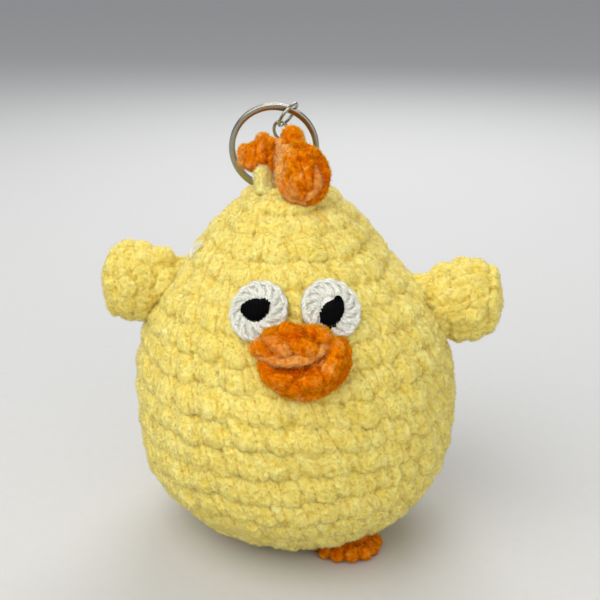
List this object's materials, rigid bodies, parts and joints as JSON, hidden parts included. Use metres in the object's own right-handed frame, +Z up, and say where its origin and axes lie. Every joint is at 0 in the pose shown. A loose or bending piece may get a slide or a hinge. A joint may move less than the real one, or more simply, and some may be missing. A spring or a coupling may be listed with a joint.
{
  "type": "plush keychain",
  "caption": "Round stuffed crochet chick with wings, feet, eyes, beak and comb, hanging from a split ring on a short chain.",
  "frame": {"origin": "centre of the flat base that the toy stands on", "axes": "+Z up towards the crown, -Y the way the face looks, +X towards the right wing as seen from the front"},
  "size_m": [0.1132, 0.0924, 0.1199],
  "materials": {
    "yellow_chenille": "matte",
    "orange_chenille": "matte",
    "white_cotton": "matte",
    "black_thread": "matte",
    "polyester_fill": "matte",
    "nickel_steel": "polished"
  },
  "bodies": {
    "root": {"body_shell": "yellow_chenille", "fibre_fill": "polyester_fill", "eye_white_left": "white_cotton", "eye_white_right": "white_cotton", "pupil_left": "black_thread", "pupil_right": "black_thread", "beak_upper": "orange_chenille", "beak_lower": "orange_chenille", "comb_front": "orange_chenille", "comb_middle": "orange_chenille", "comb_back": "orange_chenille", "crown_tuft": "yellow_chenille", "crown_loop": "yellow_chenille", "foot_left": "orange_chenille", "foot_right": "orange_chenille"},
    "wing_left": {"wing_left": "yellow_chenille", "wing_fill_left": "polyester_fill"},
    "wing_right": {"wing_right": "yellow_chenille", "wing_fill_right": "polyester_fill"},
    "anchor": {"anchor_ring": "nickel_steel"},
    "link_1": {"chain_link_1": "nickel_steel"},
    "link_2": {"chain_link_2": "nickel_steel"},
    "link_3": {"chain_link_3": "nickel_steel"},
    "link_4": {"chain_link_4": "nickel_steel"},
    "link_5": {"chain_link_5": "nickel_steel"},
    "connector": {"connector_ring": "nickel_steel"},
    "ring": {"split_ring": "nickel_steel"}
  },
  "joints": [
    {"name": "wing_left_flap", "type": "hinge", "parent": "root", "child": "wing_left", "pos_m": [-0.0346, 0, 0.0722], "axis": [0, 1, 0], "range_deg": [-30, 30], "stiffness_Nm_per_rad": 0.004},
    {"name": "wing_right_flap", "type": "hinge", "parent": "root", "child": "wing_right", "pos_m": [0.0361, 0, 0.0676], "axis": [0, -1, 0], "range_deg": [-30, 30], "stiffness_Nm_per_rad": 0.004},
    {"name": "anchor_swing", "type": "hinge", "parent": "root", "child": "anchor", "pos_m": [-0.001, 0.026, 0.0899], "axis": [-1, 0, 0], "range_deg": [0, 75]},
    {"name": "link_1_sway", "type": "hinge", "parent": "anchor", "child": "link_1", "pos_m": [-0.00161, 0.0246, 0.09381], "axis": [-0.0512, 0.9429, 0.3292], "range_deg": [-25, 25]},
    {"name": "link_2_swing", "type": "hinge", "parent": "link_1", "child": "link_2", "pos_m": [-0.00225, 0.02313, 0.09794], "axis": [-0.9894, 0.0488, -0.1365], "range_deg": [0, 40]},
    {"name": "link_3_sway", "type": "hinge", "parent": "link_2", "child": "link_3", "pos_m": [-0.00289, 0.02165, 0.10206], "axis": [-0.0512, 0.9429, 0.3292], "range_deg": [-20, 20]},
    {"name": "link_4_swing", "type": "hinge", "parent": "link_3", "child": "link_4", "pos_m": [-0.00353, 0.02017, 0.10619], "axis": [-0.9894, 0.0488, -0.1365], "range_deg": [0, 20]},
    {"name": "link_5_sway", "type": "hinge", "parent": "link_4", "child": "link_5", "pos_m": [-0.00418, 0.0187, 0.11031], "axis": [-0.0512, 0.9429, 0.3292], "range_deg": [-16, 16]},
    {"name": "connector_swing", "type": "hinge", "parent": "link_5", "child": "connector", "pos_m": [-0.00482, 0.01722, 0.11444], "axis": [-0.9894, 0.0488, -0.1365], "range_deg": [-3, 8]},
    {"name": "ring_flip", "type": "hinge", "parent": "connector", "child": "ring", "pos_m": [-0.00148, 0.01766, 0.11755], "axis": [0.9131, 0.0427, -0.4055], "range_deg": [0, 180]}
  ]
}
